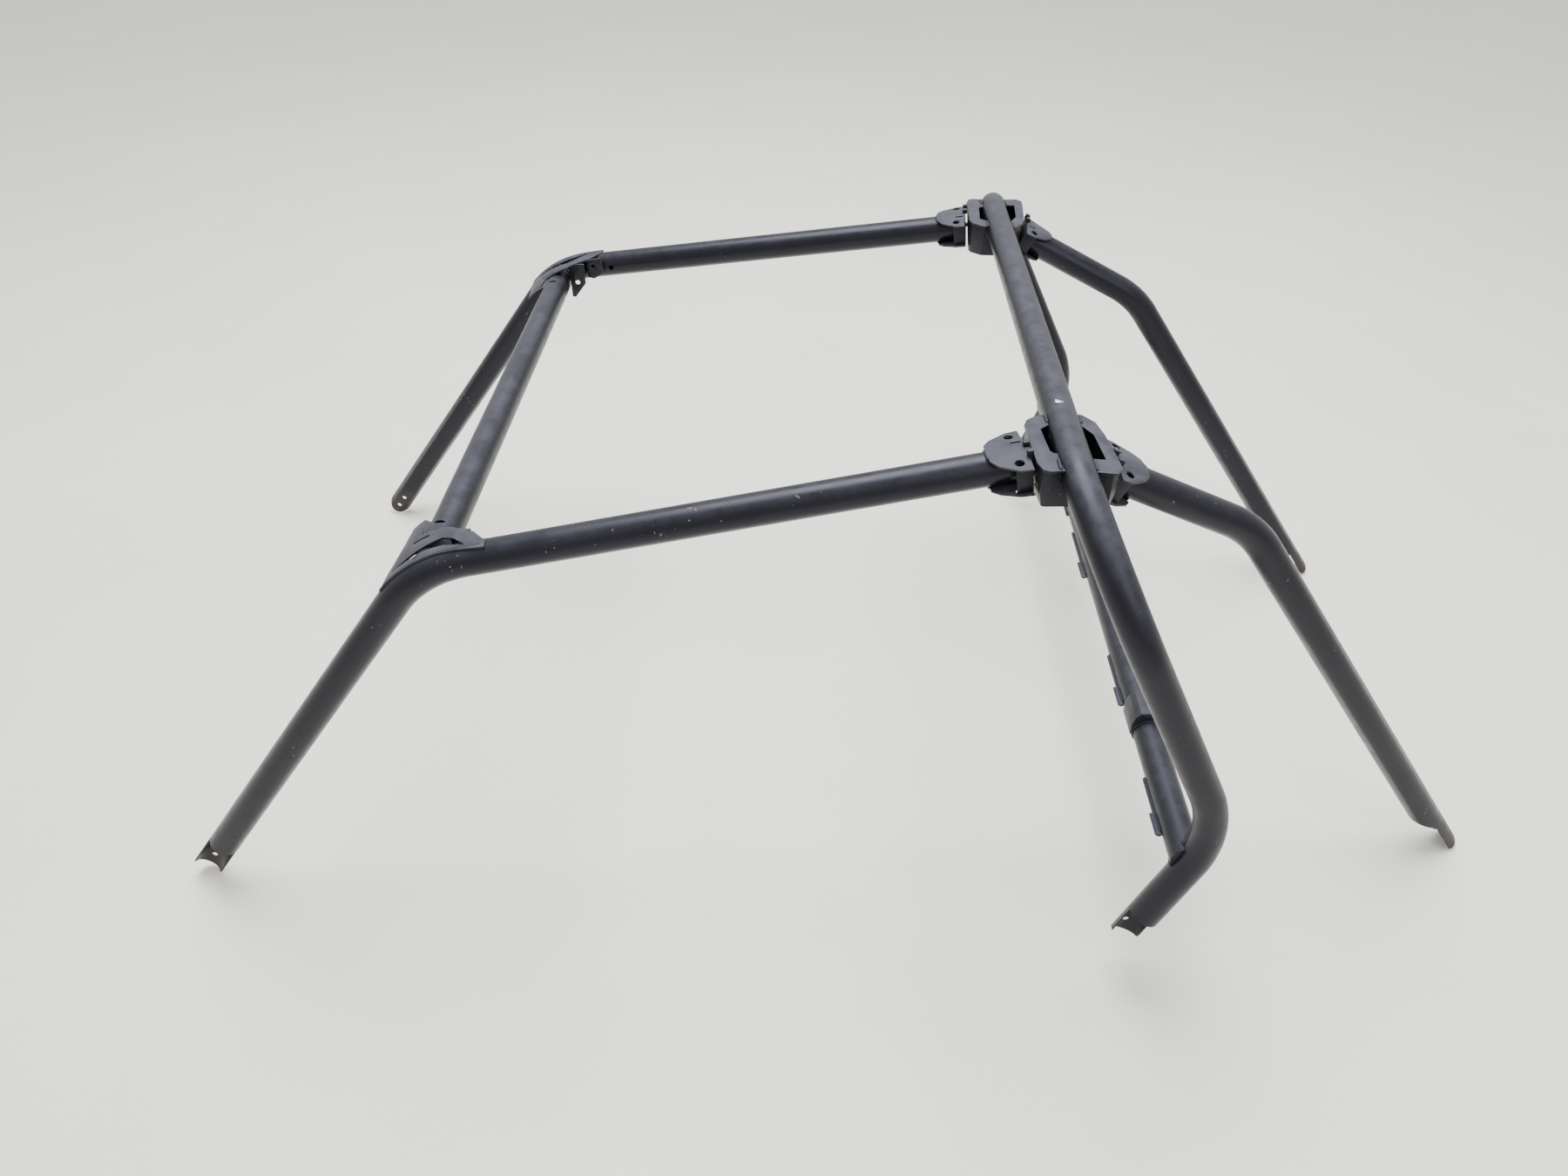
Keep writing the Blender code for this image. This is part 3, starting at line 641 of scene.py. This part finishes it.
def dress(node_name, width, material=None, warp=None, drills=()):
    """Replaces a CAD bracket with a bevelled, painted copy of it, warped and drilled on the way."""
    obj = copied(node_name + "_sheet", node_name)
    if warp:
        warp(obj)
    if drills:
        obj = cut(obj, *drills)
    bevel(obj, width, 2, 32)
    obj = baked(obj)
    smooth(obj, 40)
    finish_piece(obj, material or BRACKET_PAINT, node_name)


def fold_warp(axes):
    """Folds the rail-end plates down a little on both sides of the tube's crest."""
    back = axes.inverted()

    def warp(obj):
        bm = bmesh.new()
        bm.from_mesh(obj.data)
        origin = axes.translation
        normal = axes.to_3x3().col[1]
        bmesh.ops.bisect_plane(bm, geom=bm.verts[:] + bm.edges[:] + bm.faces[:], dist=1e-6,
                               plane_co=origin, plane_no=normal)
        for vert in bm.verts:
            place = back @ vert.co
            place.z *= 1 - EAR_FOLD * abs(place.y) / END_HEIGHT
            vert.co = axes @ place
        bm.to_mesh(obj.data)
        bm.free()
    return warp


def gusset_sink(side):
    """Presses the corner gusset down on the rail, so that its edge meets the tube."""
    flat = [Vector((p.x, 0, p.z)) for p in rail_points(side)]

    def warp(obj):
        for vert in obj.data.vertices:
            here = Vector((vert.co.x, 0, vert.co.z))
            spots = []
            for a, b in zip(flat, flat[1:]):
                t = max(0.0, min(1.0, (here - a).dot(b - a) / (b - a).length_squared))
                spots.append(a.lerp(b, t))
            spot = min(spots, key=lambda p: (p - here).length)
            vert.co -= (here - spot).normalized() * GUSSET_SINK
    return warp


def lower_tab(obj):
    """The near rear tab sits a little lower than its twin."""
    for vert in obj.data.vertices:
        vert.co.z -= TAB_LOWER


def make_gusset_fillet(label, side):
    """Closes the corner between the gusset's tall lug and the front crossbar."""
    verts = [v.co.copy() for v in frame_object("corner_gusset_" + label).data.vertices]
    tip_y = min(abs(v.y) for v in verts)
    tips = [v for v in verts if abs(v.y) < tip_y + 0.002]
    tip = max(tips, key=lambda v: v.x)
    x, z = FRONT_CROSS
    inner, outer = (at((x - FILLET_FRONT, abs(tip.y) + out, z + up), side)
                    for out, up in (FILLET_INNER, FILLET_OUTER))
    low = tip + Vector((FILLET_LOW[0], side * FILLET_LOW[1], FILLET_LOW[2]))
    flat = [tip, inner, outer, low]
    normal = (inner - tip).cross(low - tip).normalized()
    bm = bmesh.new()
    rings = [[bm.verts.new(p + normal * k * SHEET / 2) for p in flat] for k in (-1, 1)]
    bm.faces.new(rings[0])
    bm.faces.new(rings[1][::-1])
    for i in range(4):
        j = (i + 1) % 4
        bm.faces.new((rings[0][i], rings[1][i], rings[1][j], rings[0][j]))
    bmesh.ops.recalc_face_normals(bm, faces=bm.faces)
    mesh = bpy.data.meshes.new("gusset_fillet_" + label)
    bm.to_mesh(mesh)
    bm.free()
    obj = link(bpy.data.objects.new("gusset_fillet_" + label, mesh))
    bevel(obj, PLATE_BEVEL, 2, 25)
    obj = baked(obj)
    smooth(obj, 40)
    finish_piece(obj, BRACKET_PAINT)


def make_lugs(name, axes):
    """Two little lugs that stand up along the seam between the wing and the ears."""
    for k, y in enumerate(LUG_AT):
        place = axes @ Matrix.Translation((END_NEAR, y, END_HEIGHT + SHEET / 2))
        lug = block(LUG_LOW, LUG_HIGH, place)
        lug.name = f"seam_lug_{name}_{k}"
        bevel(lug, LUG_BEVEL, 3, 30)
        lug = baked(lug)
        smooth(lug, 50)
        finish_piece(lug, BRACKET_PAINT)


def make_guide(label, side):
    """A raised sheet saddle over the hoop crossbar, closed outboard, with an arm that reaches back."""
    x, z = HOOP_CROSS
    low, high = sorted((side * GUIDE_OUTER, side * (GUIDE_OUTER - GUIDE_LENGTH)))
    upright = Matrix.Rotation(math.radians(90), 4, "X")
    place = Matrix.Translation(at((x, (low + high) / 2, z))) @ upright
    guide = plate("belt_guide_sheet_" + label, GUIDE_PROFILE, GUIDE_LENGTH, place)
    inner = [(px * GUIDE_NARROWER + GUIDE_SHIFT, pz - GUIDE_WALL) for px, pz in GUIDE_PROFILE]
    inner = [(px, min(pz, GUIDE_CEILING) - (GUIDE_BELOW if pz < 0 else 0)) for px, pz in inner]
    back = Matrix.Translation((0, -side * GUIDE_WALL, 0)) @ place
    hollow = plate("hollow", inner, GUIDE_LENGTH, back)
    hole = [at((x + GUIDE_HOLE[0], side * (GUIDE_Y + GUIDE_HOLE[1]), z + h)) for h in (0.0, 0.05)]
    guide = cut(guide, hollow, sweep("hole", hole, GUIDE_HOLE_R, 32, caps=True))
    bevel(guide, GUIDE_BEVEL, 3, 25)
    guide = baked(guide)
    smooth(guide, 45)
    finish_piece(guide, BRACKET_PAINT, "belt_guide_" + label)


def make_ears(name, axes):
    """The upper and lower ear plates, folded and drilled, and the web between them."""
    fold = fold_warp(axes)
    for part, lift in (("ear_upper_", 1), ("ear_lower_", -1)):
        drills = []
        for across in (-EAR_HOLE[1], EAR_HOLE[1]):
            ends = [axes @ Vector((EAR_HOLE[0], across, lift * z)) for z in EAR_DRILL]
            drills.append(sweep("drill", ends, EAR_HOLE_R, 32, caps=True))
        dress(part + name, PLATE_BEVEL, warp=fold, drills=drills)
    dress("end_web_" + name, PLATE_BEVEL, warp=fold)


def make_gusset(label, side):
    """The front corner gusset, pressed down on the rail and with its toe cut short."""
    corner = at(RAIL_CORNER, side)
    axes = axes_at(corner, at(RAIL_JOINT, side) - corner, Vector((0, 1, 0)))
    toe = block((GUSSET_TOE, -0.1, -0.1), (GUSSET_TOE + 0.1, 0.1, 0.1), axes)
    dress("corner_gusset_" + label, GUSSET_BEVEL, warp=gusset_sink(side), drills=[toe])
    make_gusset_fillet(label, side)


def make_brackets():
    for label, side in SIDES:
        for end, _ in ENDS:
            name = f"{end}_{label}"
            axes = rail_frame(side, end)
            make_ears(name, axes)
            make_lugs(name, axes)
            dress("joint_wing_" + name, WING_BEVEL)
            dress("joint_box_" + name, BOX_BEVEL)
            dress("roof_tab_" + name, PLATE_BEVEL, warp=lower_tab if name == "rear_left" else None)
            for part in ("joint_bolt_", "joint_nut_"):
                dress(part + name, BOLT_BEVEL, ZINC)
        make_gusset(label, side)
        make_guide(label, side)
        dress("seat_tab_1_" + label, PLATE_BEVEL)
        dress("seat_tab_2_" + label, PLATE_BEVEL)
    dress("seat_tab_middle", PLATE_BEVEL)


# ---------------------------------------------------------------- weld beads

def resample(points, step, closed):
    """The same line with points at even steps."""
    points = list(points) + ([points[0]] if closed else [])
    lengths = [0.0]
    for a, b in zip(points, points[1:]):
        lengths.append(lengths[-1] + (b - a).length)
    count = max(3, round(lengths[-1] / step))
    done, k = [], 0
    for i in range(count if closed else count + 1):
        want = lengths[-1] * i / count
        while k < len(points) - 2 and lengths[k + 1] < want:
            k += 1
        span = max(lengths[k + 1] - lengths[k], 1e-9)
        done.append(points[k].lerp(points[k + 1], (want - lengths[k]) / span))
    return done


def bead(name, points, radius=BEAD_R, closed=False, sides=8):
    """A weld bead: a round rope with overlapping ripples."""
    points = resample(points, BEAD_PITCH / BEAD_RIPPLES, closed)
    count = len(points)
    bm = bmesh.new()
    rings = []
    for i, point in enumerate(points):
        before = points[i - 1] if closed or i else points[0]
        after = points[(i + 1) % count] if closed or i + 1 < count else points[-1]
        ahead = (after - before).normalized()
        if rings:
            side = (side - side.dot(ahead) * ahead).normalized()
        else:
            side = ahead.orthogonal().normalized()
        over = ahead.cross(side)
        phase = (i / BEAD_RIPPLES) % 1.0
        size = radius * (0.84 + 0.20 * math.sqrt(max(0.0, 1 - phase)) + random.uniform(-0.025, 0.025))
        if not closed:
            size *= math.sqrt(min(1.0, 0.12 + min(i, count - 1 - i) / BEAD_RIPPLES))
        ring = []
        for k in range(sides):
            turn = 2 * math.pi * k / sides
            ring.append(bm.verts.new(point + (side * math.cos(turn) + over * math.sin(turn)) * size))
        rings.append(ring)
    pairs = list(zip(rings, rings[1:]))
    if closed:
        shift = min(range(sides), key=lambda s: (rings[0][s].co - rings[-1][0].co).length)
        pairs.append((rings[-1], rings[0][shift:] + rings[0][:shift]))
    for one, two in pairs:
        for k in range(sides):
            n = (k + 1) % sides
            bm.faces.new((one[k], one[n], two[n], two[k]))
    if not closed:
        bm.faces.new(rings[0])
        bm.faces.new(rings[-1][::-1])
    bmesh.ops.recalc_face_normals(bm, faces=bm.faces)
    mesh = bpy.data.meshes.new(name)
    bm.to_mesh(mesh)
    bm.free()
    obj = link(bpy.data.objects.new(name, mesh))
    mesh.shade_smooth()
    finish_piece(obj, WELD_PAINT)


def nearest(point, path):
    """The distance from a point to a path."""
    gaps = []
    for a, b in zip(path, path[1:]):
        span = b - a
        t = max(0.0, min(1.0, (point - a).dot(span) / span.length_squared))
        gaps.append((point - a - span * t).length)
    return min(gaps)


def saddle(station, side, path, stop, count=96):
    """Where a cross tube meets a side tube: the points on its skin, and whether they close up."""
    x, z = station
    centre = at((x, 0, z))
    points = []
    for i in range(count):
        turn = 2 * math.pi * i / count
        skin = centre + Vector((math.cos(turn), 0, math.sin(turn))) * (TUBE_R + SKIN)
        reach = side * SADDLE_START
        gap = 1.0
        while gap > TUBE_R + SKIN and abs(reach) < stop:
            gap = nearest(skin + Vector((0, reach, 0)), path)
            reach += side * max(SKIN, (gap - TUBE_R) * 0.6)
        met = gap <= TUBE_R + 0.0006
        points.append(skin + Vector((0, reach, 0)) if met else None)
    if None not in points:
        return points, True
    gap = max(i for i in range(count) if points[i] is None and points[(i + 1) % count] is not None)
    turned = points[gap + 1:] + points[:gap + 1]
    return turned[:turned.index(None)], False


def arc(axes, along, first, last, radius=TUBE_R + 0.0006, count=24):
    """Points round a tube's skin, at a distance along axes X, between two angles from axes Z."""
    points = []
    for i in range(count + 1):
        turn = math.radians(first + (last - first) * i / count)
        points.append(axes @ Vector((along, radius * math.sin(turn), radius * math.cos(turn))))
    return points


def make_joint_welds(label, side):
    hoop_axes = axes_at(at((0, 0, HOOP_CORNER[2])), Vector((0, side, 0)), Vector((1, 0, 0)))
    if hoop_axes.to_3x3().col[2].z < 0:
        hoop_axes = hoop_axes @ Matrix.Diagonal((1, 1, -1, 1))
    lift = WING_Z + SHEET / 2 - HOOP_CORNER[2]
    out = math.sqrt(TUBE_R ** 2 - lift ** 2) + 0.0010
    for end, sign in ENDS:
        name = f"{end}_{label}"
        axes = rail_frame(side, end)
        bead(f"weld_web_{name}", arc(axes, TUBE_END + 0.0010, 0, 360)[:-1], BEAD_R, closed=True)
        bead(f"weld_ear_top_{name}", arc(axes, EAR_TIP + 0.0005, -34, 34), THIN_BEAD_R)
        bead(f"weld_ear_low_{name}", arc(axes, EAR_TIP + 0.0005, 146, 214), THIN_BEAD_R)
        x = HOOP_X + sign * out
        z = WING_Z + SHEET / 2 + 0.0002
        for k, (a, b) in enumerate(((-0.067, -0.046), (0.040, 0.064))):
            ends = [Vector((x, (JOINT_Y + q) * side, z)) for q in (a, b)]
            bead(f"weld_wing_{name}_{k}", ends, THIN_BEAD_R)
        for k, q in enumerate((-0.0625, 0.0605)):
            start, stop = (86, 165) if sign > 0 else (-86, -165)
            bead(f"weld_box_{name}_{k}", arc(hoop_axes, JOINT_Y + q, start, stop), THIN_BEAD_R)


def make_bar_welds():
    """Beads along the seat tabs and round the belt guides."""
    x, z = HOOP_CROSS
    radial = Vector((-math.cos(TAB_TILT), 0, -math.sin(TAB_TILT)))
    across = radial.cross(Vector((0, 1, 0)))
    names = ["seat_tab_middle"] + [f"seat_tab_{i}_{label}" for label, _ in SIDES for i in (1, 2)]
    for name in names:
        low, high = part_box(name)
        for k, sign in enumerate((-1, 1)):
            offset = at((x, 0, z)) + radial * (TUBE_R + SKIN)
            offset += across * sign * (TAB_SHEET / 2 + 0.0006)
            ends = [offset + Vector((0, y, 0)) for y in (low[1] + 0.004, high[1] - 0.004)]
            bead(f"weld_{name}_{k}", ends, TAB_BEAD_R)
    for label, side in SIDES:
        for k, out in enumerate((GUIDE_OUTER + 0.0008, GUIDE_OUTER - GUIDE_LENGTH - 0.0008)):
            axes = axes_at(at((x, out, z), side), Vector((0, 1, 0)), Vector((1, 0, 0)))
            bead(f"weld_guide_{label}_{k}", arc(axes, 0, 0, 360)[:-1], TAB_BEAD_R, closed=True)


def make_tube_welds():
    hoop = hoop_points()
    for label, side in SIDES:
        joins = (("weld_hoop_crossbar_", HOOP_CROSS, hoop, HOOP_BEND[1] + BAR_OVER),
                 ("weld_front_crossbar_", FRONT_CROSS, rail_points(side), RAIL_CORNER[1]))
        for name, station, path, stop in joins:
            points, closed = saddle(station, side, path, stop)
            bead(name + label, points, JOIN_BEAD_R, closed=closed)


def make_gusset_welds(label, side):
    """The bead along the gusset's outer edge, on the crest of the rail's bend."""
    step = 0.002
    path = resample(rail_points(side), step, False)
    middle = rail_points(side)[15]
    centre = min(range(len(path)), key=lambda i: (path[i] - middle).length)
    first, last = (centre + round(q / step) for q in GUSSET_EDGE)
    points = []
    for i in range(first, last):
        ahead = (path[i + 1] - path[i - 1]).normalized()
        up = Vector((0, side, 0)).cross(ahead).normalized()
        up = up if up.z > 0 else -up
        points.append(path[i] + up * (TUBE_R - 0.0010) + Vector((0, side * 0.0046, 0)))
    bead("weld_gusset_" + label, points, GUSSET_BEAD_R)


def make_label():
    """What is left of a paper label on the hoop's top tube."""
    x, y = LABEL_AT
    place = Matrix.Translation(at((x, y, HOOP_CORNER[2] + TUBE_R)))
    obj = plate("torn_label", LABEL_OUTLINE, LABEL_SHEET, place)
    finish_piece(obj, label_material())


# ---------------------------------------------------------------- camera, floor and light

def make_camera():
    ahead = Vector((math.sin(CAMERA_YAW) * math.cos(CAMERA_DOWN),
                    math.cos(CAMERA_YAW) * math.cos(CAMERA_DOWN), -math.sin(CAMERA_DOWN)))
    right = Vector((math.cos(CAMERA_YAW), -math.sin(CAMERA_YAW), 0))
    down = ahead.cross(right)
    tilted = right * math.cos(CAMERA_ROLL) + down * math.sin(CAMERA_ROLL)
    up = ahead.cross(tilted) * -1
    data = bpy.data.cameras.new("camera")
    data.lens = CAMERA_LENS
    camera = link(bpy.data.objects.new("camera", data))
    rot = Matrix((tilted, up, -ahead)).transposed().to_4x4()
    lean = Matrix.Rotation(CAMERA_LEAN, 4, "Y")
    camera.matrix_world = Matrix.Translation(CAMERA_AT) @ lean @ rot
    bpy.context.scene.camera = camera


def make_stage():
    mesh = bpy.data.meshes.new("floor")
    bm = bmesh.new()
    bmesh.ops.create_grid(bm, x_segments=1, y_segments=1, size=14)
    bm.to_mesh(mesh)
    bm.free()
    floor = link(bpy.data.objects.new("floor", mesh))
    mesh.materials.append(floor_material())
    world = bpy.data.worlds.new("studio")
    world.use_nodes = True
    back = world.node_tree.nodes["Background"]
    back.inputs["Color"].default_value = (1.0, 0.995, 0.985, 1)
    back.inputs["Strength"].default_value = 1.06
    bpy.context.scene.world = world


def make_light(name, place, target, size, power, colour=(1, 1, 1)):
    data = bpy.data.lights.new(name, "AREA")
    data.energy = power
    data.size = size
    data.color = colour
    light = link(bpy.data.objects.new(name, data))
    light.location = place
    light.rotation_euler = (Vector(target) - Vector(place)).to_track_quat("-Z", "Y").to_euler()


make_tubes()
make_brackets()
for side_label, side_sign in SIDES:
    make_joint_welds(side_label, side_sign)
make_bar_welds()
make_tube_welds()
for side_label, side_sign in SIDES:
    make_gusset_welds(side_label, side_sign)
make_label()
make_camera()
make_stage()
make_light("key", (-0.2, 0.9, 4.2), (0, 0, 0.3), 2.6, 300, (0.96, 0.975, 1.0))
make_light("fill", (1.6, -2.4, 2.6), (0.1, 0, 0.3), 2.0, 30, (1.0, 0.99, 0.97))
